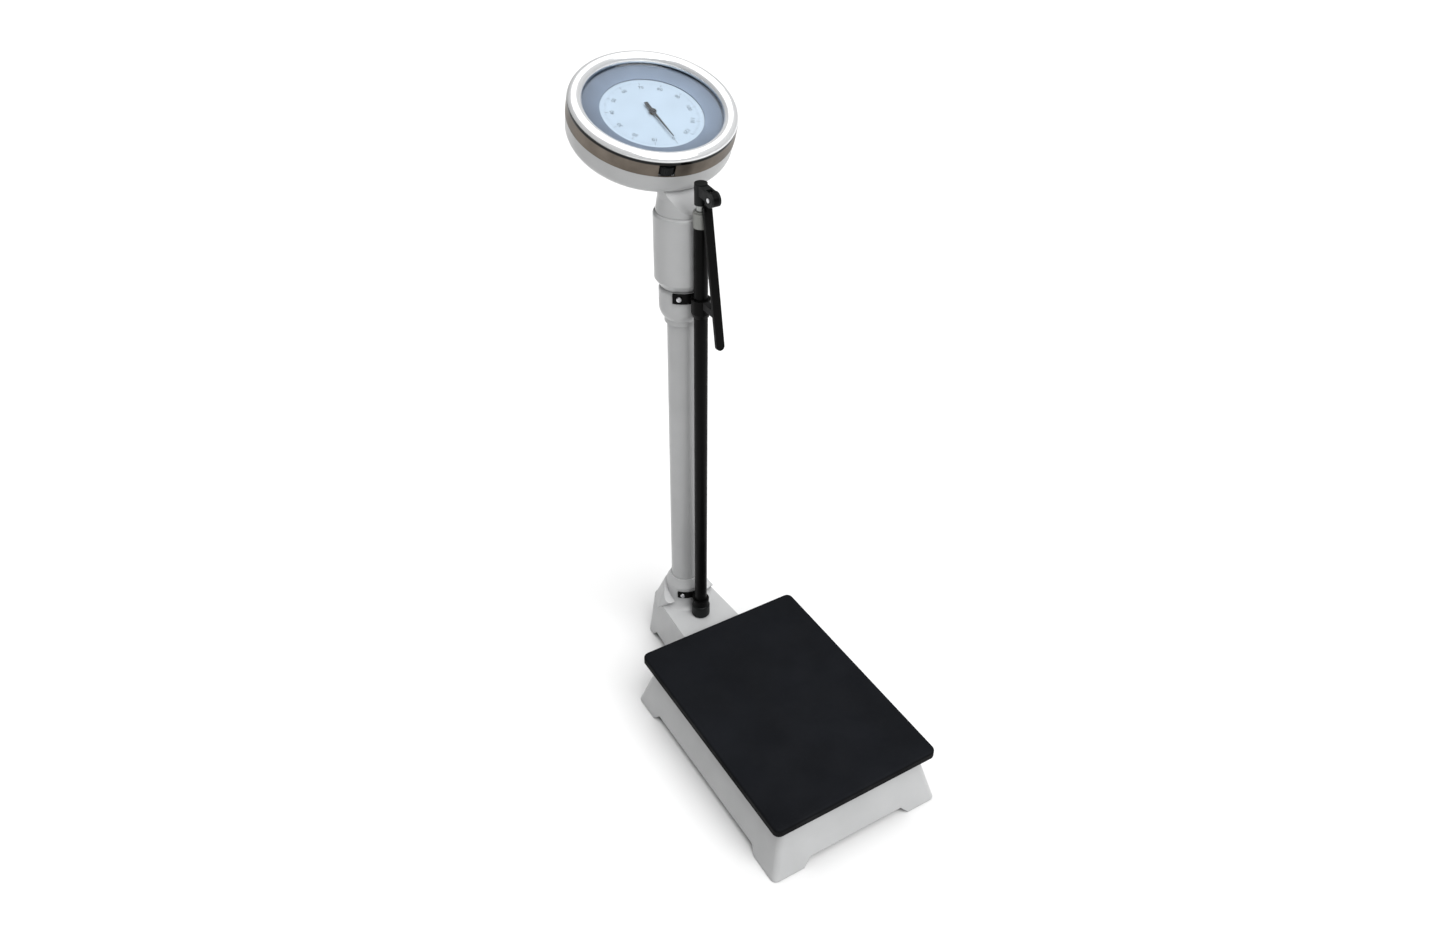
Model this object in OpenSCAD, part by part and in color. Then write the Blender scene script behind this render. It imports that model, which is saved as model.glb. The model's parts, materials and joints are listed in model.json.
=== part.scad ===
// Dial column scale with a telescopic height rod.
// X runs across the platform, Y from the platform to the column, Z up from the floor.
// The origin lies on the floor at the middle of the whole scale's outline.

/* [Platform] */
// Width of the rubber mat
mat_w = 269; // [220:1:340]
// Length of the rubber mat
mat_l = 373; // [300:1:460]
// Height of the mat's tread above the floor
platform_h = 101.5; // [98:0.5:125]
// Depth of the mat's turned-down edge
mat_edge_h = 12.5; // [10:0.5:16]
// Thickness of the rubber
mat_t = 4; // [3:0.5:5]
// Corner radius of the mat
mat_corner_r = 10; // [8:1:20]
// Thickness of the steel platform plate
plate_t = 2; // [1.5:0.5:3]

/* [Base] */
// How far the mat stands over the base's top edge on each long side
side_over = 18; // [4:0.5:22]
// How far the mat stands over the base's top edge at each end
end_over = 15.5; // [1:0.5:20]
// Height of the base casting's top edge
base_h = 86.5; // [80:0.5:88]
// Outward slope of each base wall from top to floor
base_draft = 23; // [5:0.5:26]
// Wall of the base casting
base_wall = 4; // [3:0.5:6]
// Length of each corner foot along the walls
foot_len = 50; // [40:1:75]
// Height of the cut-outs between the feet
foot_gap_h = 15; // [10:0.5:18]
// Corner radius of the base at the floor
base_corner_r = 9; // [6:1:14]
// Height that the rubber pads lift the casting
pad_lift = 1.5; // [1:0.5:3]

/* [Column] */
// Distance from the platform's centre to the column's axis
column_back = 288; // [280:1:340]
// Outer radius of the column tube
tube_r = 21.5; // [20:0.5:24]
// Wall of the column tube
tube_wall = 2; // [1.5:0.5:3]
// Height of the column foot's collar top
collar_top = 131; // [125:1:140]
// Height of the ball collar's bottom
ball_low = 596; // [520:1:720]
// Largest radius of the ball collar
ball_r = 32; // [29:0.5:36]
// Height of the ball collar
ball_h = 56; // [48:1:64]
// Radius of the spring housing
housing_r = 37.5; // [34:0.5:42]
// Height of the spring housing
housing_h = 106; // [96:1:126]

/* [Dial head] */
// Distance from the column's axis back to the dial's centre
head_back = 69; // [62:1:80]
// Height of the dial's centre above the housing's top
head_rise = 114; // [112:1:124]
// Tilt of the dial from the horizontal towards the platform
head_tilt = 19; // [15:1:25]
// Radius of the chrome band
band_r = 110.5; // [105:0.5:118]
// Depth of the chrome band below its front plane
band_h = 22.5; // [20:0.5:26]
// Radius of the glass opening
opening_r = 91; // [86:0.5:95]
// Rise of the band's rolled crest above its front plane
crest_rise = 6; // [4:0.5:8]
// Depth of the whole head below the band's front plane
head_depth = 56.5; // [54:0.5:62]
// Radius of the printed dial
dial_r = 68; // [60:0.5:72]
// Depth of the dial below the band's front plane
dial_depth = 13; // [12:0.5:15]

/* [Mechanism] */
// Full travel of the pull rod
pull_travel = 16; // [10:0.5:18]
// Distance from a lever's fulcrum to its load knife
load_arm = 40; // [30:1:50]
// Both arms of the bell crank
crank_arm = 30; // [28:0.5:31]
// Module of the rack and pinion
tooth_module = 0.5; // [0.4:0.05:0.6]
// Teeth of the pinion
pinion_teeth = 11; // [10:1:14]
// Radius of the pull rod
pull_r = 3; // [2.5:0.5:4]

/* [Height rod] */
// Distance from the column's axis forward to the height rod's axis
rod_front = 49.5; // [48:0.5:55]
// Outer radius of the outer rod tube
rod_r = 9.5; // [8.5:0.5:11]
// Wall of each rod tube
rod_wall = 1.2; // [0.8:0.1:1.6]
// Height of the outer rod tube's top
rod_top = 753; // [700:1:860]
// Height of the outer rod tube's bottom
rod_low = 82; // [80:1:100]
// Travel of each telescopic section
rod_travel = 600; // [400:5:600]
// Reach of the measuring arm from its hinge to its tip
arm_len = 204; // [180:1:260]
// Width of the measuring arm
arm_w = 12; // [8:0.5:14]
// Lean of the folded measuring arm
arm_lean = 10.5; // [8:0.5:14]

/* [Hidden] */
$fn = 96;

paint = [0.66, 0.67, 0.68];
black = [0.09, 0.09, 0.10];
steel = [0.72, 0.72, 0.74];
rubber = [0.13, 0.14, 0.15];
// Small overlap that makes a cut pass through its wall
eps = 0.5;
// Gap between two pieces that lie on each other without being fastened
gap = 0.3;

base_top_w = mat_w - 2 * side_over;
base_top_l = mat_l - 2 * end_over;
base_w = base_top_w + 2 * base_draft;
base_l = base_top_l + 2 * base_draft;
shell_fillet = 17;
shell_low_r = band_r - 1.1;
// Rearmost reach of the tilted head behind the dial's centre
head_reach = (shell_low_r - shell_fillet) * cos(head_tilt)
    + (head_depth - shell_fillet) * sin(head_tilt) + shell_fillet;
// The outline runs from the base's front edge to the head's rear edge
platform_y = (base_l / 2 - column_back - head_back - head_reach) / 2;
column_y = platform_y + column_back;
rod_y = column_y - rod_front;
housing_low = ball_low + ball_h;
housing_top = housing_low + housing_h;
head_y = column_y + head_back;
head_z = housing_top + head_rise;

// Lever train
fulcrum_in = 44;
fulcrum_y = base_l / 2 - fulcrum_in;
lever_arm = column_back + fulcrum_y;
main_z = 38;
short_z = 54;
lever_h = 12;
lever_w = 10;
knife_len = 18;
knife_size = 5;
arm_x = base_top_w / 2 - 39;
knife_x = arm_x + lever_w / 2;
shelf_z = foot_gap_h;
shelf_t = 4;

// Head depths, counted from the band's front plane
crest_r = (band_r - opening_r) / 2;
roll_z = crest_rise - crest_r;
glass_t = 2;
glass_r = opening_r + 6;
glass_z = roll_z - gap - glass_t;
plate_z = -dial_depth;
plate_thick = 1.5;
wheel_r = 12;
wheel_centre_r = band_r - wheel_r + 1;
wheel_angle = -108;
dial_plate_r = wheel_centre_r - wheel_r - gap;
pinion_r = tooth_module * pinion_teeth / 2;
rack_z = -21;
rack_h = 3;
frame_z = -28;
crank_y = column_y + crank_arm;
crank_z = head_z - 64;
crank_swing = pull_travel / crank_arm * 180 / PI;

// Height rod
rod_clear = 0.4;
middle_r = rod_r - rod_wall - rod_clear;
inner_r = middle_r - rod_wall - rod_clear;
tube_base = 18;
collar_h = 22;
inner_show = 9;
sleeve_z = rod_top + collar_h + inner_show;
hinge_z = sleeve_z + 17;
hinge_front = 29;
hinge_y = rod_y - hinge_front;
hinge_r = 9.5;
hinge_hole_r = 3;
knuckle_w = 7;
cheek_w = 13;
arm_t = 5;
arm_offset = 16.5;

// ---------- shared shapes ----------

module rounded_rect(w, l, r) {
    square([w, l - 2 * r], center = true);
    square([w - 2 * r, l], center = true);
    for (x = [-1, 1], y = [-1, 1])
        translate([x * (w / 2 - r), y * (l / 2 - r)]) circle(r);
}

// Carries a wall section round a rounded rectangle; the section's x is 0 at the outline
module rim_sweep(w, l, r) {
    for (side = [0, 1]) rotate(side * 180) {
        translate([w / 2, 0, 0]) rotate([90, 0, 0])
            linear_extrude(l - 2 * r, center = true) children();
        rotate(90) translate([l / 2, 0, 0]) rotate([90, 0, 0])
            linear_extrude(w - 2 * r, center = true) children();
        translate([w / 2 - r, l / 2 - r, 0])
            rotate_extrude(angle = 90) translate([r, 0]) children();
        translate([r - w / 2, l / 2 - r, 0]) rotate(90)
            rotate_extrude(angle = 90) translate([r, 0]) children();
    }
}

module round_bar(p, q, w) {
    along = q - p;
    translate(p) circle(w / 2);
    translate(q) circle(w / 2);
    translate(p) rotate(atan2(along[1], along[0]))
        translate([0, -w / 2]) square([norm(along), w]);
}

module pipe(outer, inner, h) {
    difference() {
        cylinder(r = outer, h = h);
        translate([0, 0, -eps]) cylinder(r = inner, h = h + 2 * eps);
    }
}

module at_platform() {
    translate([0, platform_y, 0]) children();
}

module at_column() {
    translate([0, column_y, 0]) children();
}

module at_rod() {
    translate([0, rod_y, 0]) children();
}

// Head frame: x across, y to twelve o'clock, z out of the glass, 0 at the band's front
module in_head() {
    translate([0, head_y, head_z]) rotate([head_tilt, 0, 0]) children();
}

// ---------- base ----------

// Block that leans inwards from the floor, with rounded upright corners
module tapered_block(w, l, h, draft, r) {
    hull() for (x = [-1, 1], y = [-1, 1]) {
        translate([x * (w / 2 - r), y * (l / 2 - r), 0]) cylinder(r = r, h = 1, $fn = 32);
        translate([x * (w / 2 - draft - r), y * (l / 2 - draft - r), h - 1])
            cylinder(r = r, h = 1, $fn = 32);
    }
}

module foot_gap(len, through, h) {
    ramp = 0.8 * h;
    rotate([90, 0, 0]) linear_extrude(through, center = true)
        polygon([
            [-len / 2, -eps], [-len / 2, 2], [-len / 2 + ramp, h],
            [len / 2 - ramp, h], [len / 2, 2], [len / 2, -eps]
        ]);
}

window_w = 40;
window_h = main_z + lever_h;

module base_casting() {
    top_flange = 14;
    color(paint) at_platform() difference() {
        union() {
            difference() {
                tapered_block(base_w, base_l, base_h, base_draft, base_corner_r);
                translate([0, 0, -base_wall]) tapered_block(base_w - 2 * base_wall,
                    base_l - 2 * base_wall, base_h, base_draft, base_corner_r - base_wall);
                linear_extrude(base_h + eps)
                    rounded_rect(base_top_w - 2 * top_flange, base_top_l - 2 * top_flange, 8);
                translate([0, 0, pad_lift - base_h]) linear_extrude(base_h)
                    square([base_w * 2, base_l * 2], center = true);
            }
            for (x = [-1, 1], y = [-1, 1]) scale([x, y, 1]) corner_shelf();
        }
        foot_gap(base_w - 2 * foot_len, base_l + 20, foot_gap_h);
        rotate(90) foot_gap(base_l - 2 * foot_len, base_w + 20, foot_gap_h);
        translate([-window_w / 2, base_l / 2 - base_draft - 10, -eps])
            cube([window_w, base_draft + 20, window_h]);
        translate([0, -platform_y, 0]) at_foot_bolts() translate([0, 0, -base_wall])
            cylinder(r = foot_bolt_r + 0.3, h = 3 * base_wall);
    }
}

// A shelf across each inner corner carries a fulcrum stand, with a boss for the foot pad
module corner_shelf() {
    // The shelf's edge ends in the middle of the sloping wall
    inset = base_wall / 2 + base_draft * (shelf_z + shelf_t) / base_h;
    shelf = fulcrum_in + stand_l / 2 + 4 - inset;
    r = base_corner_r - base_wall / 2;
    translate([0, 0, shelf_z]) linear_extrude(shelf_t)
        translate([base_w / 2 - inset - shelf, base_l / 2 - inset - shelf]) union() {
            square([shelf, shelf - r]);
            square([shelf - r, shelf]);
            translate([shelf - r, shelf - r]) circle(r);
        }
    translate([pad_x, pad_y, pad_lift]) cylinder(r = pad_r + 2, h = shelf_z - pad_lift + 1);
}

pad_r = 11;
pad_x = base_w / 2 - 27;
pad_y = base_l / 2 - 27;

module foot_pads() {
    color(rubber) at_platform() for (x = [-1, 1], y = [-1, 1])
        translate([x * pad_x, y * pad_y, 0]) cylinder(r = pad_r, h = pad_lift);
}

// ---------- column foot ----------

foot_w_low = 122;
foot_w_high = 104;
foot_narrow = 8;
foot_rear = 38;
foot_round = 14;
deck_z = 77;
collar_r = 30;
flare_r = 16;
foot_wall = 5;
tube_seat = 84;
shoulder_r = 35;
shoulder_z = 106;

// Outline of the foot at one height, wider at the platform than behind the column
module foot_slab(half_w, front, rear, r) {
    for (x = [-1, 1]) {
        translate([x * (half_w - foot_narrow - r), rear - r, 0])
            cylinder(r = r, h = 1, $fn = 32);
        translate([x * (half_w - 1), front, 0]) cylinder(r = 1, h = 1, $fn = 32);
    }
}

// Tapered body between the base's rear wall and the column; inset makes its hollow
module foot_body(inset) {
    front = platform_y + base_l / 2 - column_y - base_draft - 2;
    hull() {
        foot_slab(foot_w_low / 2 - inset, front, foot_rear - inset, foot_round);
        translate([0, 0, deck_z - 1 - inset])
            foot_slab(foot_w_high / 2 - inset, front, foot_rear - 4 - inset, foot_round);
    }
}

// Rear shoulder behind the column, cut off by a slope that faces the platform
module foot_shoulder(inset) {
    slope = 40;
    difference() {
        hull() {
            translate([0, 0, deck_z - 2]) intersection() {
                foot_slab(foot_w_high / 2 - inset, 0, foot_rear - 4 - inset, foot_round);
                translate([-100, -14, 0]) cube([200, 100, 1]);
            }
            translate([0, 0, shoulder_z - inset]) cylinder(r = shoulder_r - inset, h = 0.5);
        }
        translate([0, -26 + inset, deck_z]) rotate([slope, 0, 0])
            translate([-100, -100, 0]) cube([200, 250, 100]);
    }
}

module column_foot() {
    color(paint) difference() {
        union() {
            at_column() translate([0, 0, pad_lift]) foot_body(0);
            at_column() column_flare();
            at_column() foot_shoulder(0);
        }
        difference() {
            at_column() translate([0, 0, -eps]) foot_body(foot_wall);
            at_foot_bolts() translate([0, 0, base_wall + foot_lug / 2])
                cube([26, 26, foot_lug + 2], center = true);
        }
        at_foot_bolts() cylinder(r = foot_bolt_r, h = base_wall + foot_lug);
        at_column() translate([0, 0, 20]) cylinder(r = tube_r - 4, h = collar_top);
        at_column() translate([0, 0, tube_seat]) cylinder(r = tube_r, h = collar_top);
        at_platform() tapered_block(base_w, base_l, base_h, base_draft, base_corner_r);
        at_column() translate([0, -10, 0]) rotate(90)
            foot_gap(52, foot_w_low + 40, foot_gap_h);
    }
}

// Concave flare from the deck up into the column's collar, which ends in a chamfer
module column_flare() {
    low = deck_z - 3;
    flare_top = deck_z + flare_r;
    rotate_extrude() difference() {
        translate([0, low]) square([collar_r + flare_r, collar_top - low]);
        translate([collar_r + flare_r, flare_top]) circle(flare_r);
        translate([collar_r, flare_top]) square([flare_r + 1, collar_top]);
        polygon([
            [collar_r, collar_top - 13], [collar_r + 1, collar_top + 1],
            [tube_r + 2, collar_top + 1], [tube_r + 2, collar_top]
        ]);
    }
}

foot_bolt_x = 35;
foot_bolt_z = 60;
foot_bolt_r = 4;
foot_lug = 9;

// Frame of each bolt: its origin on the inner face of the base's rear wall, z outwards
module at_foot_bolts() {
    lean = atan(base_draft / (base_h - 2));
    inner_y = base_l / 2 - base_wall - (foot_bolt_z + base_wall - 1) * tan(lean);
    at_platform() for (x = [-1, 1]) translate([x * foot_bolt_x, inner_y, foot_bolt_z])
        rotate([lean - 90, 0, 0]) children();
}

module foot_bolts() {
    color(steel) at_foot_bolts() {
        translate([0, 0, -foot_bolt_r - 0.05])
            cylinder(r = 1.9 * foot_bolt_r, h = foot_bolt_r, $fn = 6);
        translate([0, 0, -0.5]) cylinder(r = foot_bolt_r, h = base_wall + foot_lug - 0.5);
    }
}

// ---------- lever train ----------

stand_x = knife_x + knife_len / 2 + 1;
stand_w = 12;
stand_l = 18;

module stand(top, y) {
    for (x = [-1, 1]) translate([x * stand_x, y, shelf_z + shelf_t]) difference() {
        translate([-stand_w / 2, -stand_l / 2, 0])
            cube([stand_w, stand_l, top - shelf_z - shelf_t]);
        translate([0, 0, top - shelf_z - shelf_t]) rotate([0, 90, 0])
            cylinder(r = 6, h = stand_w + 2 * eps, center = true, $fn = 4);
    }
}

module fulcrum_stands() {
    color(steel) at_platform() {
        stand(main_z + 1, -fulcrum_y);
        stand(short_z + 1, fulcrum_y);
    }
}

// Plan of a lever: two arms from the fulcrum knives that meet in one bar
module lever_plan(meet, nose) {
    for (x = [-1, 1]) {
        round_bar([x * arm_x, -8], [x * arm_x, load_arm + 8], lever_w);
        round_bar([x * arm_x, load_arm + 8], [0, meet], lever_w);
    }
    round_bar([-arm_x, load_arm + 8], [arm_x, load_arm + 8], lever_w);
    round_bar([0, meet], [0, nose], lever_w);
}

module lever_body(axis_z, meet, nose) {
    difference() {
        translate([0, 0, axis_z - lever_h / 2]) linear_extrude(lever_h)
            lever_plan(meet, nose);
        for (y = [0, load_arm]) translate([0, y, axis_z]) rotate([0, 90, 0])
            cylinder(r = knife_size / 2, h = mat_w, center = true);
    }
}

// Hardened prism: edge down at the fulcrum and the nose, edge up under the load
module knife(y, z, len) {
    translate([0, y, z]) rotate([0, 90, 0])
        cylinder(r = knife_size / 2 - 0.05, h = len, center = true, $fn = 4);
}

module knife_set(axis_z) {
    for (x = [-1, 1], y = [0, load_arm])
        translate([x * (arm_x + knife_len / 2), 0, 0]) knife(y, axis_z, knife_len + lever_w);
}

link_y = fulcrum_y;
link_clear = 0.8;

module main_lever() {
    color(steel) translate([0, platform_y - fulcrum_y, 0]) {
        lever_body(main_z, fulcrum_y + 60, lever_arm + 8);
        translate([0, link_y, main_z]) 
            linear_extrude(short_z - main_z - lever_h / 2 - link_clear) circle(lever_w / 2);
        translate([0, link_y, main_z - lever_h / 2]) linear_extrude(lever_h)
            square([2 * arm_x * 60 / (fulcrum_y + 60 - load_arm - 8) + 4, lever_w], center = true);
    }
}

module main_lever_knives() {
    color(steel) translate([0, platform_y - fulcrum_y, 0]) {
        knife_set(main_z);
        knife(lever_arm, main_z - lever_h / 2 - knife_size / 2, 14);
    }
}

module short_lever() {
    color(steel) translate([0, platform_y + fulcrum_y, 0]) rotate(180)
        lever_body(short_z, fulcrum_y - 70, fulcrum_y);
}

module short_lever_knives() {
    color(steel) translate([0, platform_y + fulcrum_y, 0]) rotate(180) knife_set(short_z);
}

// ---------- platform ----------

plate_top = platform_h - mat_t;
plate_w = mat_w - 2 * mat_t - 2 * gap;
plate_l = mat_l - 2 * mat_t - 2 * gap;
plate_rim = mat_edge_h - mat_t - 1;
plate_corner_r = mat_corner_r - mat_t;

module platform_plate() {
    rib_h = 5;
    color(steel) at_platform() {
        translate([0, 0, plate_top - plate_t]) linear_extrude(plate_t)
            rounded_rect(plate_w, plate_l, plate_corner_r);
        translate([0, 0, plate_top - plate_rim])
            rim_sweep(plate_w, plate_l, plate_corner_r)
                translate([-plate_t, 0]) square([plate_t, plate_rim - plate_t / 2]);
        for (x = [-60, 0, 60]) translate([x, 0, plate_top - plate_t - rib_h / 2])
            cube([12, plate_l - 30, rib_h], center = true);
    }
}

// Posts stand on the load knives with an inverted notch
module post(y, axis_z) {
    low = axis_z - 1;
    high = plate_top - plate_t;
    for (x = [-1, 1]) translate([x * stand_x, y, low]) difference() {
        translate([-stand_w / 2, -8, 0]) cube([stand_w, 16, high - low]);
        rotate([0, 90, 0])
            cylinder(r = 6, h = stand_w + 2 * eps, center = true, $fn = 4);
    }
}

module platform_posts() {
    color(steel) at_platform() {
        post(load_arm - fulcrum_y, main_z);
        post(fulcrum_y - load_arm, short_z);
    }
}

module mat_edge() {
    round_r = mat_t;
    translate([-mat_t, 0]) square([mat_t, mat_edge_h - round_r]);
    intersection() {
        translate([-round_r, mat_edge_h - round_r]) circle(round_r);
        translate([-round_r, 0]) square([round_r, mat_edge_h]);
    }
}

module platform_mat() {
    color(rubber) at_platform() {
        translate([0, 0, platform_h - mat_edge_h])
            rim_sweep(mat_w, mat_l, mat_corner_r) mat_edge();
        translate([0, 0, plate_top]) linear_extrude(mat_t)
            rounded_rect(mat_w - 2 * mat_t, mat_l - 2 * mat_t, mat_corner_r - mat_t);
    }
}

// ---------- column ----------

module column_tube() {
    color(paint) at_column() translate([0, 0, tube_seat])
        pipe(tube_r, tube_r - tube_wall, housing_low + 6 - tube_seat);
}

// Turned collar: a round bowl below, a band for the bracket and a rounded top edge
module ball_collar() {
    bowl = 24;
    top_round = 7;
    top = ball_h - gap;
    color(paint) at_column() translate([0, 0, ball_low]) rotate_extrude() difference() {
        union() {
            square([tube_r + 3, bowl]);
            intersection() {
                translate([ball_r - bowl, bowl]) circle(bowl);
                square([ball_r, bowl]);
            }
            translate([0, bowl]) square([ball_r, top - top_round - bowl]);
            square([ball_r - top_round, top]);
            translate([ball_r - top_round, top - top_round]) circle(top_round);
        }
        translate([-eps, -eps]) square([tube_r + eps, ball_h + 2 * eps]);
    }
}

housing_wall = 3;
housing_cone = 11;

module spring_housing() {
    bore_r = housing_r - housing_wall;
    color(paint) at_column() translate([0, 0, housing_low]) rotate_extrude() difference() {
        union() {
            polygon([
                [0, 0], [housing_r - 7, 0], [housing_r, housing_cone],
                [housing_r, housing_h - 5], [0, housing_h - 5]
            ]);
            intersection() {
                translate([0, housing_h - 12]) square([housing_r, 12]);
                union() {
                    square([housing_r - 5, housing_h]);
                    translate([housing_r - 5, housing_h - 5]) circle(5);
                }
            }
        }
        translate([0, housing_cone]) square([bore_r, housing_h - housing_cone - 8]);
        translate([0, -eps]) square([tube_r, 6 + eps]);
        square([tube_r - tube_wall - 2, housing_h * 2]);
    }
}

neck_r = 34;
neck_top_r = 31;
neck_top = 60;
neck_bore = 9;
mitre = 49;

// Short neck whose front is mitred back under the head
module neck() {
    mitre_y = 1 - neck_r;
    color(paint) difference() {
        at_column() translate([0, 0, housing_top]) rotate_extrude()
            polygon([
                [neck_bore, 0], [neck_r, 0], [neck_r, 2],
                [neck_top_r, 20], [neck_top_r, neck_top], [neck_bore, neck_top]
            ]);
        at_column() translate([0, mitre_y, housing_top + 5]) rotate([mitre, 0, 0])
            translate([-50, -60, 0]) cube([100, 160, 100]);
        in_head() translate([0, 0, -head_depth]) head_envelope();
    }
}

// ---------- pull rod and spring ----------

pull_low = main_z - lever_h / 2 - knife_size - gap;
pull_high = crank_z + crank_arm * sin(crank_swing / 2);
spring_low = housing_low + housing_cone + gap;
spring_len = 62;
cap_z = spring_low + spring_len;

module pull_rod() {
    stirrup_w = lever_w + 6;
    stirrup_h = lever_h + 24;
    color(steel) at_column() {
        translate([0, 0, pull_low + stirrup_h - 3]) cylinder(r = pull_r, h = rod_len);
        for (x = [-1, 1]) translate([x * (stirrup_w / 2 + 1), 0, pull_low + stirrup_h / 2 - 3])
            cube([2.5, 12, stirrup_h], center = true);
        for (z = [pull_low - 2, pull_low + stirrup_h - 4]) translate([0, 0, z])
            cube([stirrup_w + 4.5, 12, 4], center = true);
        translate([0, 0, pull_high]) rotate([0, 90, 0])
            cylinder(r = 1.5, h = 14, center = true);
        for (x = [-1, 1]) translate([x * 4.5, 0, pull_high - 4])
            cube([2, 2 * pull_r, 12], center = true);
        translate([0, 0, pull_high - 9]) cylinder(r = 5.5, h = 3);
    }
}

rod_len = pull_high - 7 - (pull_low + lever_h + 21);

// Coil wound round the pull rod, resting on the housing's floor
coil_r = 22;
wire_r = 2;
coil_turns = 7;
coil_steps = 16;
wire_sides = 8;

function coil_point(i, j, n) =
    let (
        turn = i * 360 / coil_steps,
        lift = wire_r + (spring_len - 2 * wire_r) * i / n,
        a = j * 360 / wire_sides,
        r = coil_r + wire_r * cos(a)
    ) [r * cos(turn), r * sin(turn), lift + wire_r * sin(a)];

module main_spring() {
    n = coil_turns * coil_steps;
    points = [for (i = [0:n], j = [0:wire_sides - 1]) coil_point(i, j, n)];
    sides = [for (i = [0:n - 1], j = [0:wire_sides - 1])
        let (k = (j + 1) % wire_sides, a = i * wire_sides, b = a + wire_sides)
            [a + j, b + j, b + k, a + k]];
    first = [[for (j = [0:wire_sides - 1]) j]];
    last = [[for (j = [wire_sides - 1:-1:0]) n * wire_sides + j]];
    color(steel) at_column() translate([0, 0, spring_low])
        polyhedron(points = points, faces = concat(first, last, sides), convexity = 20);
}

module spring_cap() {
    color(steel) at_column() translate([0, 0, cap_z + gap]) {
        pipe(coil_r + 5, pull_r, 3);
        pipe(8, pull_r, 10);
    }
}

// ---------- dial head ----------

module head_envelope() {
    rotate_extrude() shell_section(0);
}

// Half section of the bowl, measured up from its bottom
module shell_section(inset) {
    r = shell_low_r - inset;
    f = shell_fillet - inset;
    polygon([
        [0, inset], [r - f, inset], [r - f, inset + f], [r, inset + f],
        [band_r - inset, head_depth - band_h + inset], [0, head_depth - band_h + inset]
    ]);
    intersection() {
        translate([r - f, inset + f]) circle(f);
        square([r, head_depth]);
    }
}

shell_wall = 2;
// Hole for the pull rod in the bottom of the shell
rod_hole_r = 11;

module head_shell() {
    color(paint) difference() {
        in_head() translate([0, 0, -head_depth]) difference() {
            union() {
                rotate_extrude() shell_section(0);
                translate([0, 0, head_depth - band_h - 5])
                    cylinder(r = band_r - 1, h = 5);
                translate([0, 0, head_depth - band_h - 1])
                    cylinder(r = band_r - shell_wall - gap, h = 6);
            }
            intersection() {
                rotate_extrude() shell_section(shell_wall);
                cylinder(r = band_r * 2, h = head_depth - band_h - 5);
            }
            translate([0, 0, head_depth - band_h - 5 - eps])
                cylinder(r = band_r - 2 * shell_wall - gap, h = 20);
        }
        at_column() cylinder(r = rod_hole_r, h = head_z * 2);
        in_head() wheel_slot();
    }
}

module wheel_slot() {
    rotate(wheel_angle) translate([band_r, 0, -13.2]) cube([24, 21, 17], center = true);
}

// Polished band whose front edge is rolled inwards and down to the glass
module bezel_ring() {
    color(steel) in_head() difference() {
        rotate_extrude() {
            translate([band_r - shell_wall, -band_h]) square([shell_wall, band_h + roll_z]);
            intersection() {
                translate([band_r - crest_r, roll_z]) difference() {
                    circle(crest_r);
                    circle(crest_r - shell_wall);
                }
                translate([opening_r, roll_z]) square([2 * crest_r, crest_r]);
            }
        }
        wheel_slot();
    }
}

module glass() {
    color([0.8, 0.9, 0.95, 0.4]) in_head() translate([0, 0, glass_z])
        cylinder(r = glass_r, h = glass_t);
}

// Sloping ring that leads from under the glass down to the printed dial
module dial_surround() {
    top = glass_z - gap;
    low = plate_z + gap;
    color([0.45, 0.5, 0.58]) in_head() {
        rotate_extrude() polygon([
            [dial_r, low], [dial_r, low + 1.2], [opening_r - 2, top],
            [opening_r + 3, top], [opening_r + 3, top - 1.2], [opening_r - 1.5, top - 1.2]
        ]);
    }
}

module dial_plate() {
    color([0.88, 0.91, 0.95]) in_head() translate([0, 0, plate_z - plate_thick]) {
        pipe(dial_plate_r, 3, plate_thick);
        translate([0, 0, -2]) pipe(8, 3, 2 + eps);
    }
}

module pointer() {
    tip = 52;
    tail = 18;
    color(black) in_head() translate([0, 0, pointer_z]) rotate(pointer_angle) {
        linear_extrude(0.8) difference() {
            union() {
                circle(5);
                polygon([[-1.6, 0], [-0.5, tip], [0.5, tip], [1.6, 0]]);
                polygon([[-1.8, 0], [-2.6, -tail], [2.6, -tail], [1.8, 0]]);
            }
            circle(1.5);
        }
        translate([0, 0, 0.8]) difference() {
            cylinder(r1 = 4, r2 = 2.6, h = 2);
            translate([0, 0, -eps]) cylinder(r = 1.5, h = 1.5 + eps);
        }
    }
}

pointer_z = plate_z + 3.5;
pointer_angle = 183;

// ---------- movement ----------

module pinion_plan() {
    depth = tooth_module;
    half = 360 / pinion_teeth;
    circle(pinion_r - depth * 1.1);
    for (i = [0:pinion_teeth - 1]) rotate(i * half) polygon([
        [pinion_r - depth * 1.3, -tooth_module * 0.75], [pinion_r, -tooth_module * 0.6],
        [pinion_r + depth * 0.8, -tooth_module * 0.25],
        [pinion_r + depth * 0.8, tooth_module * 0.25], [pinion_r, tooth_module * 0.6],
        [pinion_r - depth * 1.3, tooth_module * 0.75]
    ]);
}

module pinion_spindle() {
    low = frame_z - 3;
    color(steel) in_head() {
        translate([0, 0, low]) cylinder(r = 1.5, h = pointer_z + 2 - low);
        translate([0, 0, rack_z - 0.5]) linear_extrude(rack_h + 0.8) pinion_plan();
        translate([0, 0, low]) cylinder(r = 3, h = 0.8);
    }
}

plate_gap_z = -17.5;
pillar_r = 3;
pillar_x = 22;
pillar_y = 16;
spindle_clear = 0.05;

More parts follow.
